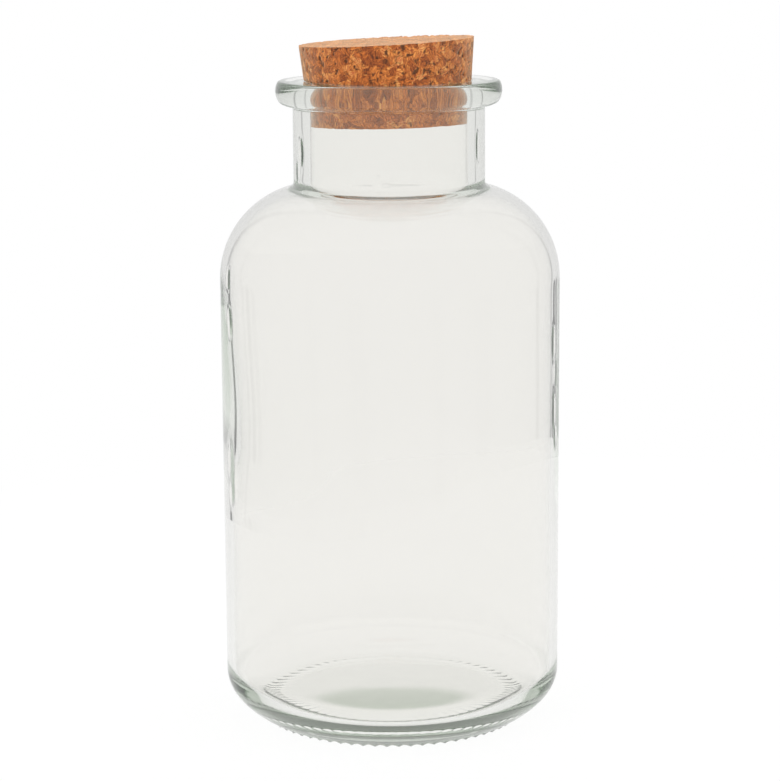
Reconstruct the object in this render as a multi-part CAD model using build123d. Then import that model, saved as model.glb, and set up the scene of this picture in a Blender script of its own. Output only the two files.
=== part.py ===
"""Wide-mouthed glass storage jar with a tapered cork stopper pressed askew into its mouth.

Millimetres, +Z up. The origin is on the surface that the jar stands on, on the axis of the glass.
"""
from math import acos, cos, degrees, radians, sin, sqrt, tan
import os

from build123d import *

# Outside of the blown glass
jar_height = 186.0
body_radius = 49.0
foot_radius = 48.9
shoulder_radius = 27.0
neck_radius = 27.5
neck_height = 30.1
neck_foot_fillet = 1.6

# Heel, from the standing ring up to the wall: a slack arc, then a tighter one
heel_start_angle = 25.0
heel_break_angle = 50.0
heel_lower_radius = 24.0
heel_upper_radius = 11.0

# Standing ring with its moulded radial ribs, and the pushed-up base inside it
ring_width = 5.5
rib_count = 70
rib_height = 0.45
groove_share_of_pitch = 0.48
kick_height = 2.4

# Flange round the mouth
flange_overhang = 4.9
flange_height = 6.6
flange_droop = 0.5
flange_top_round = 0.7
flange_under_round = 2.9
flange_root_fillet = 0.9

# Inside of the glass
wall_at_shoulder = 2.3
wall_at_heel = 2.6
floor_thickness = 7.2
floor_edge_height = 4.0
floor_corner_radius = 9.6
bore_radius = 22.5
bore_foot_round = 2.4
lip_radius = 24.3
lip_height = 6.4
lip_edge_round = 0.9

# Cork stopper, cut from bonded granules. It leans to the left and a little back.
cork_top_flare = 2.5
cork_taper_angle = 5.5
cork_height = 23.2
cork_depth_in_neck = 12.1
cork_foot_shift = 0.2
cork_lean_left = 2.0
cork_lean_back = 0.4
cork_top_slope = 2.7
cork_foot_slope = 1.0
cork_fit_gap = 0.15

# How far the cutting tools run past what they cut
overrun = 2.0

ring_outer_radius = (
    foot_radius
    - heel_lower_radius * (sin(radians(heel_break_angle)) - sin(radians(heel_start_angle)))
    - heel_upper_radius * (1 - sin(radians(heel_break_angle)))
)
ring_inner_radius = ring_outer_radius - ring_width
shoulder_centre_radius = body_radius - shoulder_radius
shoulder_rise = sqrt(shoulder_radius**2 - (neck_radius - shoulder_centre_radius) ** 2)
shoulder_start_height = jar_height - neck_height - shoulder_rise
cavity_radius = body_radius - wall_at_shoulder
cavity_shoulder_radius = shoulder_radius - wall_at_shoulder
flange_radius = neck_radius + flange_overhang
cork_top_radius = bore_radius + cork_top_flare


def cap_radius(half_width, rise):
    """Radius of the arc that rises by so much from its edge to its middle."""
    return (half_width**2 + rise**2) / (2 * rise)


def turn_to_radius(centre, arc_radius, end):
    """Degrees that an arc turns, from upright, on its way in to a smaller radius."""
    return degrees(acos((end - centre) / arc_radius))


def rounded(section, corner, radius):
    """Half section with the corner nearest to a point rounded off."""
    return fillet(section.vertices().sort_by_distance(corner)[0], radius)


def turned(section):
    """Solid turned about the jar's axis from a half section drawn in the XY plane."""
    return revolve(Plane.XZ * section, Axis.Z)


def outer_section():
    """Half section of the outside, up from the pushed-up base to the rim, with no ribs."""
    kick_curve = cap_radius(ring_inner_radius, kick_height - rib_height)
    kick = RadiusArc((0, kick_height), (ring_inner_radius, rib_height), kick_curve)
    ring = Line(kick @ 1, (ring_outer_radius, rib_height))
    heel_start = (cos(radians(heel_start_angle)), sin(radians(heel_start_angle)))
    heel_lower = JernArc(
        ring @ 1, heel_start, heel_lower_radius, heel_break_angle - heel_start_angle
    )
    heel_upper = JernArc(heel_lower @ 1, heel_lower % 1, heel_upper_radius, 90 - heel_break_angle)
    wall = Line(heel_upper @ 1, (body_radius, shoulder_start_height))
    shoulder_turn = turn_to_radius(shoulder_centre_radius, shoulder_radius, neck_radius)
    shoulder = JernArc(wall @ 1, (0, 1), shoulder_radius, shoulder_turn)
    under_flange = jar_height - flange_height
    rest = Polyline(
        shoulder @ 1,
        (neck_radius, under_flange - flange_droop),
        (flange_radius, under_flange),
        (flange_radius, jar_height),
        (0, jar_height),
        (0, kick_height),
    )
    section = make_face(kick + ring + heel_lower + heel_upper + wall + shoulder + rest)
    section = rounded(section, shoulder @ 1, neck_foot_fillet)
    section = rounded(section, (neck_radius, under_flange - flange_droop), flange_root_fillet)
    section = rounded(section, (flange_radius, under_flange), flange_under_round)
    return rounded(section, (flange_radius, jar_height), flange_top_round)


def cavity_section():
    """Half section of the hollow, from the floor up to the rim."""
    heel_wall_radius = foot_radius - wall_at_heel
    floor_middle = kick_height + floor_thickness
    floor_curve = cap_radius(heel_wall_radius, floor_middle - floor_edge_height)
    floor = RadiusArc((0, floor_middle), (heel_wall_radius, floor_edge_height), floor_curve)
    wall = Line(floor @ 1, (cavity_radius, shoulder_start_height))
    shoulder_turn = turn_to_radius(shoulder_centre_radius, cavity_shoulder_radius, bore_radius)
    shoulder = JernArc(wall @ 1, (0, 1), cavity_shoulder_radius, shoulder_turn)
    bore = Line(shoulder @ 1, (bore_radius, jar_height - lip_height))
    lip = RadiusArc(
        bore @ 1, (lip_radius, jar_height), -cap_radius(lip_height, lip_radius - bore_radius)
    )
    closing = Polyline(
        lip @ 1,
        (flange_radius, jar_height),
        (flange_radius, jar_height + overrun),
        (0, jar_height + overrun),
        (0, floor_middle),
    )
    section = make_face(floor + wall + shoulder + bore + lip + closing)
    section = rounded(section, floor @ 1, floor_corner_radius)
    section = rounded(section, shoulder @ 1, bore_foot_round)
    return rounded(section, lip @ 1, lip_edge_round)


def standing_ribs():
    """Ring of narrow radial ribs under the base, whose flat feet the jar stands on."""
    slant = rib_height / tan(radians(heel_start_angle))
    foot = (ring_inner_radius + rib_height, 0)
    outline = Polyline(
        foot,
        (ring_outer_radius - slant, 0),
        (ring_outer_radius, rib_height),
        (ring_inner_radius, rib_height),
        foot,
    )
    pitch = 2 * ring_outer_radius * sin(radians(180 / rib_count))
    groove = Box(
        ring_width + 2 * overrun,
        pitch * groove_share_of_pitch,
        rib_height + 2 * overrun,
        align=(Align.MIN, Align.CENTER, Align.MIN),
    )
    groove = Pos(ring_inner_radius - overrun, 0, -overrun) * groove
    half_step = 180 / rib_count
    grooves = [Rot(0, 0, half_step * (2 * step + 1)) * groove for step in range(rib_count)]
    return turned(make_face(outline)) - grooves


def glass_jar():
    """One piece of glass: base, wall, shoulder, neck and flange, hollowed out."""
    return turned(outer_section()) - turned(cavity_section()) + standing_ribs()


def mouth_room():
    """Room that the neck leaves for the stopper, open above the rim."""
    room_radius = bore_radius - cork_fit_gap
    room_lip_radius = lip_radius - cork_fit_gap
    low = jar_height - cork_depth_in_neck - cork_height
    high = jar_height + cork_height
    wide = 2 * cork_top_radius
    bore = Polyline((0, high), (0, low), (room_radius, low), (room_radius, jar_height - lip_height))
    lip = RadiusArc(
        bore @ 1, (room_lip_radius, jar_height), -cap_radius(lip_height, lip_radius - bore_radius)
    )
    above = Polyline(lip @ 1, (wide, jar_height), (wide, high), (0, high))
    return turned(make_face(bore + lip + above))


def cork_stopper():
    """Tapered cork, leaning about its foot, squeezed to the round of the neck below the rim."""
    foot_height = jar_height - cork_depth_in_neck
    slope = tan(radians(cork_taper_angle))
    foot_radius_past = cork_top_radius - (cork_height + overrun) * slope
    top_radius_past = cork_top_radius + overrun * slope
    cone = Cone(
        foot_radius_past,
        top_radius_past,
        cork_height + 2 * overrun,
        align=(Align.CENTER, Align.CENTER, Align.MIN),
    )
    lean = Location((cork_foot_shift, 0, foot_height), (-cork_lean_back, -cork_lean_left, 0))
    cork = lean * Pos(0, 0, -overrun) * cone
    top_middle = (lean * Pos(0, 0, cork_height)).position
    cork = split(cork, Plane(Pos(*top_middle) * Rot(0, -cork_top_slope, 0)), keep=Keep.BOTTOM)
    cork = split(cork, Plane(Pos(0, 0, foot_height) * Rot(0, -cork_foot_slope, 0)), keep=Keep.TOP)
    return cork & mouth_room()


os.makedirs("parts", exist_ok=True)
export_step(glass_jar(), "parts/glass_jar.step")
export_step(cork_stopper(), "parts/cork_stopper.step")
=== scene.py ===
"""Wide-mouthed glass storage jar with a cork stopper pressed askew into its mouth."""
from math import acos, asin, atan2, cos, degrees, exp, hypot, pi, radians, sin, sqrt, tan

import bmesh
import bpy
from mathutils import Matrix, Vector, noise


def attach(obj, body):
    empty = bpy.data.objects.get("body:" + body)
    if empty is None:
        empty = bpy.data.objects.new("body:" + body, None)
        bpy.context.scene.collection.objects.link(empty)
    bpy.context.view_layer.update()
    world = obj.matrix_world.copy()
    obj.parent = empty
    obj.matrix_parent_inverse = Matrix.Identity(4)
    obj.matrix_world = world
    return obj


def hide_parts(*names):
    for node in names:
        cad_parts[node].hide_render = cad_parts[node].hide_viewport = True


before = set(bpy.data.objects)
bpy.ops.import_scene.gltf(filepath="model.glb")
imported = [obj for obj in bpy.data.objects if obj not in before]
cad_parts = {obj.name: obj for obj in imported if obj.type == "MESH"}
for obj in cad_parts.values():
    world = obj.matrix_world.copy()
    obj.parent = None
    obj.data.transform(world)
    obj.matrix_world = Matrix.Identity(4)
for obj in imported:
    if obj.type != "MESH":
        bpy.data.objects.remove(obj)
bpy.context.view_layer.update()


# Camera
# A long lens a little above the jar, tipped down on to it and hardly turned or rolled.
mm = 0.001
camera_distance = 771.6 * mm
camera_height = 240.5 * mm
camera_pitch = 10.617
camera_yaw = 0.014
camera_roll = -0.370
focal_length_px = 2695
picture_height_px = 781

camera = bpy.data.objects.new("camera", bpy.data.cameras.new("camera"))
bpy.context.scene.collection.objects.link(camera)
bpy.context.scene.camera = camera
camera.data.sensor_width = 36
camera.data.lens = camera.data.sensor_width * focal_length_px / picture_height_px
camera.matrix_world = (
    Matrix.Translation((0, -camera_distance, camera_height))
    @ Matrix.Rotation(radians(camera_yaw), 4, "Z")
    @ Matrix.Rotation(radians(90 - camera_pitch), 4, "X")
    @ Matrix.Rotation(radians(camera_roll), 4, "Z")
)


# Glass jar
# One piece of clear soda-lime glass, blown into a mould: its outside is the mould's, with a
# pushed-up base inside a ring of ribs, and its inside is free, so the wall is uneven.
jar_height = 186.0
body_radius = 49.0
foot_radius = 48.9
wall_taper_start = 1.0
shoulder_radius = 27.0
neck_radius = 27.5
neck_height = 30.1
neck_foot_fillet = 1.6
heel_start_angle = 25.0
heel_break_angle = 50.0
heel_lower_radius = 24.0
heel_upper_radius = 11.0
ring_width = 5.5
rib_count = 70
rib_height = 0.45
kick_height = 2.4
flange_overhang = 4.9
flange_height = 6.6
flange_droop = 0.5
flange_top_round = 1.1
flange_under_round = 2.9
flange_root_fillet = 0.9
flange_crown_angle = 22.0
wall_at_shoulder = 2.3
wall_at_heel = 2.6
floor_thickness = 7.2
floor_edge_height = 4.0
floor_corner_radius = 9.6
bore_radius = 22.5
bore_foot_round = 4.5
lip_radius = 24.6
lip_edge_round = 0.9
lip_flare_angle = 60.0
merge_distance = 0.002

# A rib is this much of its full height at each step across it, and fades inwards
steps_per_rib = 5
rib_wave_shares = (1.0, 0.4, 0.0, 0.0, 0.4)
rib_fade = 1.3


class HalfSection:
    """Pen that draws half of a turned piece's outline as edges in the plane y = 0, in mm."""

    def __init__(self, radius, height, heading):
        self.mesh = bmesh.new()
        self.inside = self.mesh.verts.layers.int.new("inside")
        self.point = self.mesh.verts.new((radius, 0, height))
        self.heading = heading

    def straight(self, length, steps=1):
        """Draws on along the heading."""
        along = Vector((cos(radians(self.heading)), 0, sin(radians(self.heading))))
        for _ in range(steps):
            made = bmesh.ops.extrude_vert_indiv(self.mesh, verts=[self.point])
            self.point = made["verts"][0]
            bmesh.ops.translate(self.mesh, verts=[self.point], vec=along * length / steps)

    def bend(self, radius, turn, steps):
        """Draws an arc, to the left for a positive turn and to the right for a negative one."""
        side = radians(self.heading + (90 if turn > 0 else -90))
        centre = self.point.co + Vector((cos(side), 0, sin(side))) * radius
        made = bmesh.ops.spin(
            self.mesh,
            geom=[self.point],
            cent=centre,
            axis=(0, -1, 0),
            angle=radians(turn),
            steps=steps,
        )
        self.point = next(x for x in made["geom_last"] if isinstance(x, bmesh.types.BMVert))
        self.heading += turn

    def turned(self, sectors, steps):
        """Turns the outline about Z into a closed mesh: one sector in steps, then its copies."""
        about = {"cent": (0, 0, 0), "axis": (0, 0, 1)}
        sector = 2 * pi / sectors
        outline = self.mesh.verts[:] + self.mesh.edges[:]
        bmesh.ops.spin(self.mesh, geom=outline, angle=sector, steps=steps, **about)
        first = self.mesh.verts[:] + self.mesh.edges[:] + self.mesh.faces[:]
        copies = sectors - 1
        bmesh.ops.spin(
            self.mesh,
            geom=first,
            angle=sector * copies,
            steps=copies,
            use_duplicate=True,
            **about,
        )
        bmesh.ops.remove_doubles(self.mesh, verts=self.mesh.verts, dist=merge_distance)
        bmesh.ops.recalc_face_normals(self.mesh, faces=self.mesh.faces)
        return self.mesh


def arc_through_edge(half_width, rise):
    """Radius of the arc that rises by so much from its edge to its middle."""
    return (half_width**2 + rise**2) / (2 * rise)


def finished(name, mesh, material, sharp_angle):
    """Object at the origin made from a mesh in mm, smooth but for its sharp edges."""
    bmesh.ops.scale(mesh, vec=(mm, mm, mm), verts=mesh.verts)
    for face in mesh.faces:
        face.smooth = True
    for edge in mesh.edges:
        edge.smooth = edge.calc_face_angle(0) < radians(sharp_angle)
    # A fixed order of faces, so that each run writes the same mesh
    mesh.verts.index_update()
    count = len(mesh.verts)
    mesh.faces.sort(key=lambda face: face.verts[0].index * count + face.verts[1].index)
    piece = bpy.data.objects.new(name, bpy.data.meshes.new(name))
    mesh.to_mesh(piece.data)
    mesh.free()
    piece.data.materials.append(material)
    bpy.context.scene.collection.objects.link(piece)
    return piece


def glass_outline():
    """Section of the glass, out from under the base, up to the rim and down the inside."""
    ring_outer_radius = (
        foot_radius
        - heel_lower_radius * (sin(radians(heel_break_angle)) - sin(radians(heel_start_angle)))
        - heel_upper_radius * (1 - sin(radians(heel_break_angle)))
    )
    ring_inner_radius = ring_outer_radius - ring_width
    shoulder_centre = body_radius - shoulder_radius
    shoulder_rise = sqrt(shoulder_radius**2 - (neck_radius - shoulder_centre) ** 2)
    shoulder_start = jar_height - neck_height - shoulder_rise

    pen = HalfSection(0, kick_height, 0)
    kick_arc = arc_through_edge(ring_inner_radius, kick_height - rib_height)
    pen.bend(kick_arc, -degrees(asin(ring_inner_radius / kick_arc)), steps=10)
    pen.heading = 0
    rib_slant = rib_height / tan(radians(heel_start_angle))
    pen.straight(rib_height)
    pen.straight(ring_width - rib_height - rib_slant, steps=2)
    pen.straight(rib_slant)
    pen.heading = heel_start_angle
    pen.bend(heel_lower_radius, heel_break_angle - heel_start_angle, steps=8)
    pen.bend(heel_upper_radius, 90 - heel_break_angle, steps=10)
    pen.straight(shoulder_start - pen.point.co.z, steps=4)
    for vert in pen.mesh.verts:
        up_wall = max(0, vert.co.z - wall_taper_start) / shoulder_start
        vert.co.x *= 1 + (body_radius / foot_radius - 1) * min(1, up_wall)

    neck_foot = neck_radius + neck_foot_fillet - shoulder_centre
    shoulder_turn = degrees(acos(neck_foot / (shoulder_radius + neck_foot_fillet)))
    pen.bend(shoulder_radius, shoulder_turn, steps=24)
    pen.bend(neck_foot_fillet, -shoulder_turn, steps=6)
    slope = atan2(flange_droop, flange_overhang)
    crown = radians(flange_crown_angle)
    root = flange_root_fillet * tan((pi / 2 - slope) / 2)
    pen.straight(jar_height - flange_height - flange_droop - root - pen.point.co.z, steps=8)
    pen.bend(flange_root_fillet, degrees(slope) - 90, steps=6)
    under_width = flange_under_round * (cos(crown) - sin(slope))
    under_rise = flange_under_round * (cos(slope) - sin(crown))
    flat_width = neck_radius + flange_overhang - pen.point.co.x - under_width
    face_height = jar_height - pen.point.co.z - flat_width * tan(slope) - under_rise
    face_height -= flange_top_round * (1 - sin(crown))
    face_radius = face_height / (2 * sin(crown) - tan(slope) * (1 - cos(crown)))
    pen.straight((flat_width - face_radius * (1 - cos(crown))) / cos(slope))
    pen.bend(flange_under_round, 90 - degrees(slope + crown), steps=9)
    pen.bend(face_radius, 2 * flange_crown_angle, steps=8)
    pen.bend(flange_top_round, 90 - flange_crown_angle, steps=6)
    pen.straight(pen.point.co.x - lip_radius, steps=2)

    pen.bend(lip_edge_round, 90 - lip_flare_angle, steps=6)
    flare_radius = (pen.point.co.x - bore_radius) / (1 - cos(radians(lip_flare_angle)))
    pen.bend(flare_radius, lip_flare_angle, steps=8)
    before = set(pen.mesh.verts)
    cavity_shoulder = shoulder_radius - wall_at_shoulder
    reach = cavity_shoulder + bore_foot_round
    throat = acos((bore_radius + bore_foot_round - shoulder_centre) / reach)
    pen.straight(pen.point.co.z - shoulder_start - reach * sin(throat), steps=16)
    pen.bend(bore_foot_round, degrees(throat), steps=8)
    pen.bend(cavity_shoulder, -degrees(throat), steps=26)

    heel_wall_radius = foot_radius - wall_at_heel
    floor_middle = kick_height + floor_thickness
    floor_arc = arc_through_edge(heel_wall_radius, floor_middle - floor_edge_height)
    corner_centre = heel_wall_radius - floor_corner_radius
    dip = asin(corner_centre / (floor_arc + floor_corner_radius))
    corner_height = floor_middle - floor_arc + (floor_arc + floor_corner_radius) * cos(dip)
    fall = pen.point.co.z - corner_height
    narrowing = pen.point.co.x - heel_wall_radius
    pen.heading = 270 - degrees(atan2(narrowing, fall))
    pen.straight(hypot(fall, narrowing), steps=84)
    pen.heading = 270
    pen.bend(floor_corner_radius, -90 - degrees(dip), steps=14)
    pen.bend(floor_arc, degrees(dip), steps=8)
    pen.point.co.x = 0
    for vert in set(pen.mesh.verts) - before:
        vert[pen.inside] = 1
    return pen


# The free inside of the wall waves gently between these heights, and is thickest at the left
swell_foot = 14.0
swell_head = 140.0
swell_fade = 12.0
slow_swell = 0.2
slow_swell_waves = 1.1
slow_swell_length = 45.0
left_swell = 1.7
left_swell_bearing = 180
left_swell_spread = 75
left_swell_height = 82.0
left_swell_rise = 27.0
left_swell_fall = 13.0

# Wrinkles in the free inside: bearing in degrees, then the height, half width, half height
# and depth in mm. A negative depth is a hollow.
wrinkle_head = 172.0
wrinkle_reach = 20
wrinkles = (
    (194, 166, 1.1, 2.8, 0.4),
    (189, 160, 0.8, 1.8, -0.25),
    (-14, 168, 0.7, 4.0, 0.2),
    (263, 160, 1.1, 1.0, 0.3),
    (267, 159.5, 0.8, 0.9, -0.25),
    (198, 131, 0.8, 1.6, 0.25),
    (199, 119, 0.9, 2.4, 0.25),
    (197, 116, 0.7, 1.3, -0.2),
    (196, 78, 1.6, 3.5, 0.35),
    (201, 73, 1.4, 3.0, -0.3),
    (198, 69, 1.2, 1.8, 0.25),
    (-16, 112, 0.9, 3.0, 0.2),
    (-14, 103, 0.8, 2.2, -0.15),
    (-15, 92, 1.0, 3.5, 0.2),
    (-13, 84, 0.8, 2.0, 0.15),
)


def bump(distance, width):
    """Smooth hill of height 1."""
    return exp(-((distance / width) ** 2))


def apart(bearing, other):
    """Degrees between two bearings."""
    return abs((bearing - other + 180) % 360 - 180)


def wall_swell(bearing, height, reach):
    """How much thicker than drawn the blown wall is at a place on its inside, in mm."""
    outward = Vector((cos(radians(bearing)), sin(radians(bearing)), 0))
    upward = Vector((0, 0, height / slow_swell_length))
    slow = noise.noise(outward * slow_swell_waves + upward)
    fade = min(1, max(0, (height - swell_foot) / swell_fade))
    fade *= min(1, max(0, (swell_head - height) / swell_fade))
    tall = left_swell_rise if height > left_swell_height else left_swell_fall
    left = left_swell * bump(apart(bearing, left_swell_bearing), left_swell_spread)
    left *= bump(height - left_swell_height, tall)
    swell = fade * (slow_swell * slow + left)
    for middle_bearing, middle, half_width, half_height, deep in wrinkles:
        away = apart(bearing, middle_bearing)
        if abs(height - middle) < 3 * half_height and away < wrinkle_reach:
            across = bump(radians(away) * reach, half_width)
            swell += deep * across * bump(height - middle, half_height)
    return swell


def glass_mesh():
    """The jar's glass, with its ribs moulded and its inside left uneven."""
    pen = glass_outline()
    steps = rib_count * steps_per_rib
    glass = pen.turned(rib_count, steps_per_rib)
    land = [v for v in glass.verts if abs(v.co.z - rib_height) < merge_distance]
    inner = min(hypot(v.co.x, v.co.y) for v in land)
    outer = max(hypot(v.co.x, v.co.y) for v in land)
    for vert in land:
        outwards = (hypot(vert.co.x, vert.co.y) - inner) / (outer - inner)
        step = round(atan2(vert.co.y, vert.co.x) / (2 * pi) * steps) % steps_per_rib
        share = rib_wave_shares[step] * min(1, rib_fade * outwards**1.5)
        vert.co.z -= rib_height * share
    for vert in glass.verts:
        if vert[pen.inside] and swell_foot < vert.co.z < wrinkle_head:
            reach = hypot(vert.co.x, vert.co.y)
            bearing = degrees(atan2(vert.co.y, vert.co.x))
            vert.co.xy *= 1 - wall_swell(bearing, vert.co.z, reach) / reach
    return glass


def linear(code):
    """Linear colour, with full alpha, from an sRGB hex code."""
    parts = [int(code[i : i + 2], 16) / 255 for i in (1, 3, 5)]
    return [p / 12.92 if p <= 0.04045 else ((p + 0.055) / 1.055) ** 2.4 for p in parts] + [1.0]


def node(tree, kind, inputs=None, **settings):
    """Adds one shader node. Inputs maps a socket to a value or to the output that feeds it."""
    made = tree.nodes.new(kind)
    for name, value in settings.items():
        setattr(made, name, value)
    for socket, value in (inputs or {}).items():
        if isinstance(value, bpy.types.NodeSocket):
            tree.links.new(value, made.inputs[socket])
        else:
            made.inputs[socket].default_value = value
    return made


def new_material(name):
    """Empty node material, its tree and its output node."""
    material = bpy.data.materials.new(name)
    material.use_nodes = True
    material.node_tree.nodes.clear()
    return material, material.node_tree, material.node_tree.nodes.new("ShaderNodeOutputMaterial")


# Soda-lime glass, fire-polished: it bends what is behind it, and greens where it is thick.
# Lamp light goes straight through it, so that the jar throws only a faint shadow.
soda_glass, tree, output = new_material("soda_lime_glass")
place = node(tree, "ShaderNodeTexCoord").outputs["Object"]
ripple = node(
    tree,
    "ShaderNodeTexNoise",
    {"Vector": place, "Scale": 55, "Detail": 1.5, "Roughness": 0.4},
)
polish = node(
    tree,
    "ShaderNodeBump",
    {"Strength": 0.06, "Distance": 0.4 * mm, "Height": ripple.outputs["Fac"]},
)
clear = node(
    tree,
    "ShaderNodeBsdfPrincipled",
    {
        "Base Color": linear("#F8F7F5"),
        "Roughness": 0.0,
        "IOR": 1.52,
        "Transmission Weight": 1.0,
        "Normal": polish.outputs["Normal"],
    },
)
ray = node(tree, "ShaderNodeLightPath")
passing = node(
    tree,
    "ShaderNodeMath",
    {0: ray.outputs["Is Shadow Ray"], 1: ray.outputs["Is Diffuse Ray"]},
    operation="MAXIMUM",
)
through = node(tree, "ShaderNodeBsdfTransparent", {"Color": linear("#F6F7F5")})
mixed = node(
    tree,
    "ShaderNodeMixShader",
    {0: passing.outputs[0], 1: clear.outputs["BSDF"], 2: through.outputs["BSDF"]},
)
depth = node(tree, "ShaderNodeVolumeAbsorption", {"Color": linear("#A1BA9D"), "Density": 8})
tree.links.new(mixed.outputs["Shader"], output.inputs["Surface"])
tree.links.new(depth.outputs["Volume"], output.inputs["Volume"])

jar = finished("blown_glass_jar", glass_mesh(), soda_glass, sharp_angle=60)
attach(jar, "jar")
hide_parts("glass_jar")


# Cork stopper
# A tapered plug turned from a block of bonded cork granules, leaning where it was thumbed in.
# Below the rim the neck has squeezed it round; granules have pulled out of its sides.
cork_top_radius = 25.0
cork_taper = 5.5
cork_height = 23.15
cork_depth = 12.1
cork_foot_shift = 0.2
cork_lean_left = 2.0
cork_lean_back = 0.4
cork_top_slope = 2.7
cork_foot_slope = 1.0
cork_gap = 0.12
squeeze_height = 3.4
squeeze_flare = 1.4

# Its skin: seams that open between some granules, the grain in them, and chips out of them
skin_seed = 5
granule_size = 2.6
granule_squash = 1.5
granule_bend = 0.3
bends_per_granule = 1.6
seam_width_share = 0.2
seam_depth = 0.26
seam_patch = Vector((3, 8, 5))
open_seams_per_mm = 0.42
opening_contrast = 3.2
opening_bias = 0.15
grain_depth = 0.09
grain_squash = 1.8
grains_per_mm = 1.5
chip_depth = 1.2
chip_patch = Vector((7, 3, 1))
chips_per_mm = 0.8
chip_threshold = 0.36
deepest_pit = 0.5
smoothed_share = 0.5
top_normal = 0.9

# The part of the top edge, at the back on the right, that has crumbled away
crumbled_right = 12
crumbled_back = 22
crumbled_half_width = 16
crumbled_half_depth = 9
crumbled_above = 196
crumbled_from_share = 0.1
crumbled_depth = 0.7
crumbs_per_mm = 0.7
crumb_bias = 0.35


def mouth_room(height):
    """Radius that the neck leaves for the cork at a height, in mm."""
    rise = max(0, height - jar_height + squeeze_height)
    flare = arc_through_edge(squeeze_height, squeeze_flare)
    if height > jar_height:
        return 2 * cork_top_radius
    return bore_radius - cork_gap + flare - sqrt(flare**2 - rise**2)


def pit_depth(spot, top):
    """How far the skin lies below the sanded surface at a place, in mm."""
    place = spot / granule_size
    bent = place + granule_bend * noise.noise_vector(place * bends_per_granule)
    near = noise.voronoi(Vector((bent.x, bent.y, bent.z * granule_squash)))[0]
    seam = max(0, 1 - (near[1] - near[0]) / seam_width_share)
    opening = noise.noise(spot * open_seams_per_mm + seam_patch)
    open_seam = min(1, max(0, opening * opening_contrast + opening_bias))
    grain = abs(noise.noise(Vector((spot.x, spot.y, spot.z * grain_squash)) * grains_per_mm))
    chip = max(0, noise.noise(spot * chips_per_mm + chip_patch) - chip_threshold)
    depth = seam_depth * seam * open_seam + grain_depth * grain + chip_depth * chip
    if top:
        depth *= smoothed_share
    return min(depth, deepest_pit)


def cork_mesh():
    """The stopper, leaned, trimmed, squeezed into the mouth and given its granular skin."""
    noise.seed_set(skin_seed)
    foot = cork_top_radius - cork_height * tan(radians(cork_taper))
    side = cork_height / cos(radians(cork_taper))
    pen = HalfSection(0, 0, 0)
    pen.straight(foot, steps=12)
    pen.heading = 90 - cork_taper
    pen.straight(side, steps=78)
    pen.heading = 180
    pen.straight(cork_top_radius, steps=40)
    pen.point.co.x = 0
    cork = pen.turned(sectors=24, steps=20)
    lean = (
        Matrix.Translation((cork_foot_shift, 0, jar_height - cork_depth))
        @ Matrix.Rotation(-radians(cork_lean_left), 4, "Y")
        @ Matrix.Rotation(-radians(cork_lean_back), 4, "X")
    )
    bmesh.ops.transform(cork, matrix=lean, verts=cork.verts)
    top_tip = tan(radians(cork_top_slope)) - tan(radians(cork_lean_left))
    foot_tip = tan(radians(cork_foot_slope)) - tan(radians(cork_lean_left))
    for vert in cork.verts:
        up = (vert.co.z - jar_height + cork_depth) / cork_height
        vert.co.z += vert.co.x * (up * top_tip + (1 - up) * foot_tip)
        room = mouth_room(vert.co.z)
        reach = hypot(vert.co.x, vert.co.y)
        if reach > room:
            vert.co.xy *= room / reach
    cork.normal_update()
    depth_layer = cork.verts.layers.float.new("pit_depth")
    for vert in cork.verts:
        depth = pit_depth(vert.co, top=vert.normal.z > top_normal)
        if vert.co.z < jar_height:
            depth *= smoothed_share
        vert[depth_layer] = depth
        vert.co -= vert.normal * depth
        crumbled = bump(vert.co.y - crumbled_back, crumbled_half_depth)
        crumbled *= bump(vert.co.x - crumbled_right, crumbled_half_width)
        if vert.co.z > crumbled_above and crumbled > crumbled_from_share:
            loose = max(0, crumb_bias + noise.noise(vert.co * crumbs_per_mm))
            vert.co.z -= crumbled * loose * crumbled_depth
    return cork


def lay_colours(ramp, stops):
    """Sets a colour ramp's stops from (position, hex code) pairs."""
    while len(ramp.elements) < len(stops):
        ramp.elements.new(0.5)
    for element, (position, code) in zip(ramp.elements, stops):
        element.position = position
        element.color = linear(code)


# Agglomerated cork, sanded: each granule is its own brown with its own grain, and bark
# specks, open seams and a pale fuzz of cut cells lie between and over them. Pits, seams and chips
# are painted darker the deeper they are, as painted shade. Below the rim it is painted a little
# paler, as a painted reflection of the neck's glass over it. The patterns are in mm, with
# granules of about 2 mm.
cork_skin, tree, output = new_material("agglomerated_cork")
place = node(tree, "ShaderNodeTexCoord").outputs["Object"]
place = node(
    tree, "ShaderNodeVectorMath", {0: place, "Scale": 1 / mm}, operation="SCALE"
).outputs[0]
wander = node(tree, "ShaderNodeTexNoise", {"Vector": place, "Scale": 0.7, "Detail": 3})
warped = node(
    tree,
    "ShaderNodeVectorMath",
    {0: wander.outputs["Color"], 1: (1.6, 1.6, 1.6), 2: place},
    operation="MULTIPLY_ADD",
)
cells = node(tree, "ShaderNodeTexVoronoi", {"Vector": warped.outputs[0], "Scale": 0.5})
tone = node(tree, "ShaderNodeSeparateColor", {"Color": cells.outputs["Color"]})
granule = node(tree, "ShaderNodeValToRGB", {"Fac": tone.outputs[0]})
lay_colours(
    granule.color_ramp,
    [(0.0, "#8E4A1C"), (0.25, "#A65C26"), (0.6, "#BC7133"), (0.85, "#CB8546"), (1.0, "#D89A5E")],
)
turn = node(
    tree, "ShaderNodeVectorMath", {0: cells.outputs["Color"], "Scale": 2 * pi}, operation="SCALE"
)
turned = node(
    tree,
    "ShaderNodeVectorRotate",
    {"Vector": place, "Rotation": turn.outputs[0]},
    rotation_type="EULER_XYZ",
)
grain = node(
    tree, "ShaderNodeVectorMath", {0: turned.outputs[0], 1: (0.9, 0.9, 4.2)}, operation="MULTIPLY"
)
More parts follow.
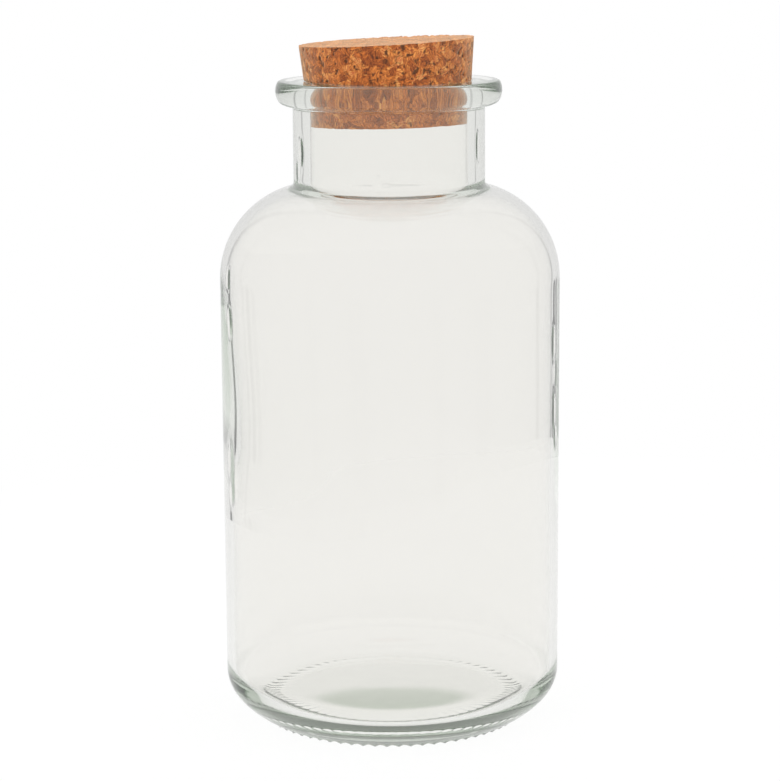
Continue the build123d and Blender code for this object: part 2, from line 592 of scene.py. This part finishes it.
strands = node(
    tree,
    "ShaderNodeTexNoise",
    {"Vector": grain.outputs[0], "Scale": 0.9, "Detail": 4, "Roughness": 0.6},
)
fibre = node(tree, "ShaderNodeValToRGB", {"Fac": strands.outputs["Fac"]})
lay_colours(
    fibre.color_ramp,
    [(0.3, "#3A2010"), (0.42, "#8A6A50"), (0.5, "#B8A898"), (0.6, "#DCCDB8"), (0.72, "#FFF8E4")],
)
grained = node(
    tree,
    "ShaderNodeMix",
    {0: 0.85, 6: granule.outputs["Color"], 7: fibre.outputs["Color"]},
    data_type="RGBA",
    blend_type="OVERLAY",
)
flecks = node(
    tree,
    "ShaderNodeTexNoise",
    {"Vector": grain.outputs[0], "Scale": 0.5, "Detail": 3, "Roughness": 0.5},
)
speck = node(
    tree,
    "ShaderNodeMapRange",
    {
        "Value": flecks.outputs["Fac"],
        "From Min": 0.38,
        "From Max": 0.3,
        "To Min": 0,
        "To Max": 0.85,
    },
)
specked = node(
    tree,
    "ShaderNodeMix",
    {0: speck.outputs[0], 6: grained.outputs[2], 7: linear("#4E2712")},
    data_type="RGBA",
)
# Painted shade: the deeper the skin lies in pits, seams and chips, the darker it is painted
pit = node(tree, "ShaderNodeAttribute", attribute_name="pit_depth")
pit_shade_share = node(
    tree,
    "ShaderNodeMapRange",
    {"Value": pit.outputs["Fac"], "From Min": 0.1, "From Max": 0.26, "To Min": 0, "To Max": 0.85},
)
shaded_in_pits = node(
    tree,
    "ShaderNodeMix",
    {0: pit_shade_share.outputs[0], 6: specked.outputs[2], 7: linear("#40200E")},
    data_type="RGBA",
)
upright = node(tree, "ShaderNodeSeparateXYZ", {0: place})
# Painted reflection: below the rim the cork is painted a little paler, standing for the neck's glass
# over it
painted_reflection_share = node(
    tree,
    "ShaderNodeMapRange",
    {
        "Value": upright.outputs["Z"],
        "From Min": jar_height - 2,
        "From Max": jar_height,
        "To Min": 0.15,
        "To Max": 0,
    },
)
with_painted_reflection = node(
    tree,
    "ShaderNodeMix",
    {0: painted_reflection_share.outputs[0], 6: shaded_in_pits.outputs[2], 7: linear("#BE8D5A")},
    data_type="RGBA",
)
fuzz = node(tree, "ShaderNodeTexNoise", {"Vector": place, "Scale": 2.6, "Detail": 4})
relief = node(
    tree,
    "ShaderNodeBump",
    {"Strength": 0.6, "Distance": 0.3 * mm, "Height": fuzz.outputs["Fac"]},
)
bark = node(
    tree,
    "ShaderNodeBsdfPrincipled",
    {
        "Base Color": with_painted_reflection.outputs[2],
        "Roughness": 0.8,
        "Normal": relief.outputs["Normal"],
        "Sheen Weight": 0.6,
        "Sheen Roughness": 0.5,
        "Sheen Tint": linear("#F8EBC8"),
    },
)
tree.links.new(bark.outputs["BSDF"], output.inputs["Surface"])

stopper = finished("tapered_cork_stopper", cork_mesh(), cork_skin, sharp_angle=50)
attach(stopper, "stopper")
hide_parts("cork_stopper")


# Studio
# A pale round table top in a white room, lit by soft lamps. A green-grey shadow is painted on
# the table under the base, and black flags stand round the room where only the edges of the glass
# pick them up.
table_radius = 360 * mm
table_shift = 40 * mm
table_drop = 0.1 * mm
# Painted shadow of the base on the table: full within the first radius, gone past the second
painted_shadow_edge = 17 * mm
painted_shadow_fade_end = 26 * mm
own_white_share = 0.9
guided_low = 0.42
guided_rise = 0.5


def guided_share(tree, bounces):
    """How bright the studio looks along light that bounced so often inside the glass.

    From 3 bounces on it is dim, as in the dark band above the foot. Past 6 it pales again, as
    behind the ribs.
    """
    lost = node(
        tree,
        "ShaderNodeMapRange",
        {"Value": bounces, "From Min": 2, "From Max": 3, "To Min": 1.0, "To Max": guided_low},
    )
    regained = node(
        tree,
        "ShaderNodeMapRange",
        {"Value": bounces, "From Min": 6, "From Max": 9, "To Min": 0.0, "To Max": guided_rise},
    )
    return node(tree, "ShaderNodeMath", {0: lost.outputs[0], 1: regained.outputs[0]}).outputs[0]


# Matt white table: what the camera or the glass sees of it is nearly its own white, and the
# rest is lit paint, which keeps the jar's shadow. The green-grey shadow painted under the base is
# half as deep behind the middle.
table_paint, tree, output = new_material("white_table_top")
ray = node(tree, "ShaderNodeLightPath")
paint = node(tree, "ShaderNodeBsdfDiffuse", {"Color": linear("#F4F4F4")})
guided = guided_share(tree, ray.outputs["Glossy Depth"])
place = node(tree, "ShaderNodeTexCoord").outputs["Object"]
spot = node(tree, "ShaderNodeSeparateXYZ", {0: place})
doubled = node(tree, "ShaderNodeMath", {0: spot.outputs["Y"], 1: 2}, operation="MULTIPLY")
behind = node(
    tree, "ShaderNodeMath", {0: spot.outputs["Y"], 1: doubled.outputs[0]}, operation="MAXIMUM"
)
stretched = node(tree, "ShaderNodeCombineXYZ", {"X": spot.outputs["X"], "Y": behind.outputs[0]})
away = node(tree, "ShaderNodeVectorMath", {0: stretched.outputs[0]}, operation="LENGTH")
off_painted_shadow = node(
    tree,
    "ShaderNodeMapRange",
    {"Value": away.outputs["Value"], "From Min": painted_shadow_edge, "From Max": painted_shadow_fade_end},
    interpolation_type="SMOOTHSTEP",
)
# Painted shadow: green-grey on the table under the base, white off it
shade = node(
    tree,
    "ShaderNodeMix",
    {0: off_painted_shadow.outputs[0], 6: linear("#C4CEC2"), 7: linear("#FFFFFF")},
    data_type="RGBA",
)
white = node(tree, "ShaderNodeEmission", {"Color": shade.outputs[2], "Strength": guided})
direct = node(
    tree,
    "ShaderNodeMath",
    {0: ray.outputs["Is Camera Ray"], 1: ray.outputs["Is Glossy Ray"]},
    operation="MAXIMUM",
)
looked_at = node(
    tree,
    "ShaderNodeMath",
    {0: direct.outputs[0], 1: ray.outputs["Is Transmission Ray"]},
    operation="MAXIMUM",
)
own_white = node(
    tree, "ShaderNodeMath", {0: looked_at.outputs[0], 1: own_white_share}, operation="MULTIPLY"
)
top = node(
    tree, "ShaderNodeMixShader", {0: own_white.outputs[0], 1: paint.outputs[0], 2: white.outputs[0]}
)
tree.links.new(top.outputs[0], output.inputs["Surface"])

table_mesh = bmesh.new()
bmesh.ops.create_circle(table_mesh, cap_ends=True, segments=180, radius=table_radius)
bmesh.ops.translate(table_mesh, verts=table_mesh.verts, vec=(table_shift, 0, -table_drop))
table = bpy.data.objects.new("table_top", bpy.data.meshes.new("table_top"))
table_mesh.to_mesh(table.data)
table_mesh.free()
table.data.materials.append(table_paint)
bpy.context.scene.collection.objects.link(table)


def lamp(name, place, size, power):
    """Soft square lamp aimed at the middle of the jar, unseen in the glass."""
    made = bpy.data.objects.new(name, bpy.data.lights.new(name, "AREA"))
    made.data.shape = "SQUARE"
    made.data.size = size
    made.data.energy = power
    made.location = place
    aim = Vector((0, 0, 120 * mm)) - made.location
    made.rotation_mode = "QUATERNION"
    made.rotation_quaternion = aim.to_track_quat("-Z", "Y")
    made.visible_glossy = False
    made.visible_transmission = False
    bpy.context.scene.collection.objects.link(made)


lamp("key_lamp", place=(-0.55, -0.75, 0.75), size=0.6, power=6.0)
lamp("fill_lamp", place=(0.8, -0.5, 0.5), size=0.7, power=2.8)
lamp("top_lamp", place=(0.1, 0.3, 1.0), size=0.8, power=4.5)

# White room: full white to the camera, also through the glass, a little less in the glass's
# reflections, and a soft fill on the cork and the table.
reflected_white = 0.9
room_fill = 0.55
room = bpy.data.worlds.new("white_room")
bpy.context.scene.world = room
room.use_nodes = True
tree = room.node_tree
tree.nodes.clear()
output = tree.nodes.new("ShaderNodeOutputWorld")
heading = node(tree, "ShaderNodeTexCoord").outputs["Generated"]
direction = node(tree, "ShaderNodeSeparateXYZ", {0: heading})
compass = node(
    tree,
    "ShaderNodeMath",
    {0: direction.outputs["X"], 1: direction.outputs["Y"]},
    operation="ARCTAN2",
)
bearing = node(tree, "ShaderNodeMath", {0: compass.outputs[0]}, operation="DEGREES")


def flag(centre, half_width, soft_edge):
    """Mask of upright flags on one bearing in each quarter of the room, in degrees."""
    wrapped = node(
        tree,
        "ShaderNodeMath",
        {0: bearing.outputs[0], 1: centre - 45, 2: centre + 45},
        operation="WRAP",
    )
    off = node(tree, "ShaderNodeMath", {0: wrapped.outputs[0], 1: centre}, operation="SUBTRACT")
    beside = node(tree, "ShaderNodeMath", {0: off.outputs[0]}, operation="ABSOLUTE")
    return node(
        tree,
        "ShaderNodeMapRange",
        {
            "Value": beside.outputs[0],
            "From Min": half_width - soft_edge,
            "From Max": half_width + soft_edge,
            "To Min": 1,
            "To Max": 0,
        },
        interpolation_type="SMOOTHSTEP",
    )


# A low pair of flags darkens the body's edges, and two tall thin ones draw its long side lines
inner_flag = flag(centre=20.6, half_width=2.2, soft_edge=0.9)
outer_flag = flag(centre=27.2, half_width=2.2, soft_edge=0.9)
pair = node(
    tree, "ShaderNodeMath", {0: inner_flag.outputs[0], 1: outer_flag.outputs[0]}, operation="MAXIMUM"
)
left_flag = flag(centre=-32.0, half_width=2.2, soft_edge=1.0)
right_flag = flag(centre=34.0, half_width=1.2, soft_edge=0.8)
low = node(
    tree,
    "ShaderNodeMapRange",
    {
        "Value": direction.outputs["Z"],
        "From Min": -0.155,
        "From Max": -0.135,
        "To Min": 1.0,
        "To Max": 0.0,
    },
)
low_pair = node(tree, "ShaderNodeMath", {0: pair.outputs[0], 1: low.outputs[0]}, operation="MULTIPLY")
at_back = node(
    tree,
    "ShaderNodeMapRange",
    {
        "Value": direction.outputs["Y"],
        "From Min": 0.3,
        "From Max": 0.75,
        "To Min": 0.25,
        "To Max": 1.0,
    },
)
left_strength = node(
    tree, "ShaderNodeMath", {0: low.outputs[0], 1: 0.5, 2: 0.4}, operation="MULTIPLY_ADD"
)
left_line = node(
    tree,
    "ShaderNodeMath",
    {0: left_flag.outputs[0], 1: left_strength.outputs[0]},
    operation="MULTIPLY",
)
right_line = node(tree, "ShaderNodeMath", {0: right_flag.outputs[0], 1: 0.5}, operation="MULTIPLY")
thin = node(
    tree, "ShaderNodeMath", {0: left_line.outputs[0], 1: right_line.outputs[0]}, operation="MAXIMUM"
)
any_flag = node(
    tree, "ShaderNodeMath", {0: low_pair.outputs[0], 1: thin.outputs[0]}, operation="MAXIMUM"
)

# Only light that went into one wall, bounced once inside it and came out again meets the flags
ray = node(tree, "ShaderNodeLightPath")
in_and_out = node(
    tree, "ShaderNodeMath", {0: ray.outputs["Transmission Depth"], 1: 2, 2: 0.1}, operation="COMPARE"
)
one_bounce = node(
    tree, "ShaderNodeMath", {0: ray.outputs["Glossy Depth"], 1: 1, 2: 0.1}, operation="COMPARE"
)
at_edge = node(
    tree,
    "ShaderNodeMath",
    {0: in_and_out.outputs[0], 1: one_bounce.outputs[0]},
    operation="MULTIPLY",
)
edge_flags = node(
    tree, "ShaderNodeMath", {0: any_flag.outputs[0], 1: at_edge.outputs[0]}, operation="MULTIPLY"
)
flags = node(
    tree, "ShaderNodeMath", {0: edge_flags.outputs[0], 1: at_back.outputs[0]}, operation="MULTIPLY"
)
unflagged = node(tree, "ShaderNodeMath", {0: 1.0, 1: flags.outputs[0]}, operation="SUBTRACT")
off_white = node(
    tree, "ShaderNodeMath", {0: unflagged.outputs[0], 1: reflected_white}, operation="MULTIPLY"
)
guided = guided_share(tree, ray.outputs["Glossy Depth"])
in_glass = node(tree, "ShaderNodeMath", {0: off_white.outputs[0], 1: guided}, operation="MULTIPLY")
bounced = node(tree, "ShaderNodeMath", {0: ray.outputs["Glossy Depth"], 1: 1}, operation="MINIMUM")
seen = node(
    tree,
    "ShaderNodeMix",
    {0: bounced.outputs[0], 2: 1.0, 3: in_glass.outputs[0]},
    data_type="FLOAT",
)
lit = node(
    tree,
    "ShaderNodeMix",
    {0: ray.outputs["Is Diffuse Ray"], 2: seen.outputs[0], 3: room_fill},
    data_type="FLOAT",
)
strength = node(
    tree,
    "ShaderNodeMix",
    {0: ray.outputs["Is Camera Ray"], 2: lit.outputs[0], 3: 1.0},
    data_type="FLOAT",
)
sky = node(tree, "ShaderNodeBackground", {"Color": (1, 1, 1, 1), "Strength": strength.outputs[0]})
tree.links.new(sky.outputs[0], output.inputs["Surface"])

# Light guided round the base bounces many times before it leaves
most_bounces = 200
bpy.context.scene.view_settings.view_transform = "Standard"
bpy.context.scene.cycles.max_bounces = most_bounces
bpy.context.scene.cycles.glossy_bounces = most_bounces
bpy.context.scene.cycles.transmission_bounces = most_bounces
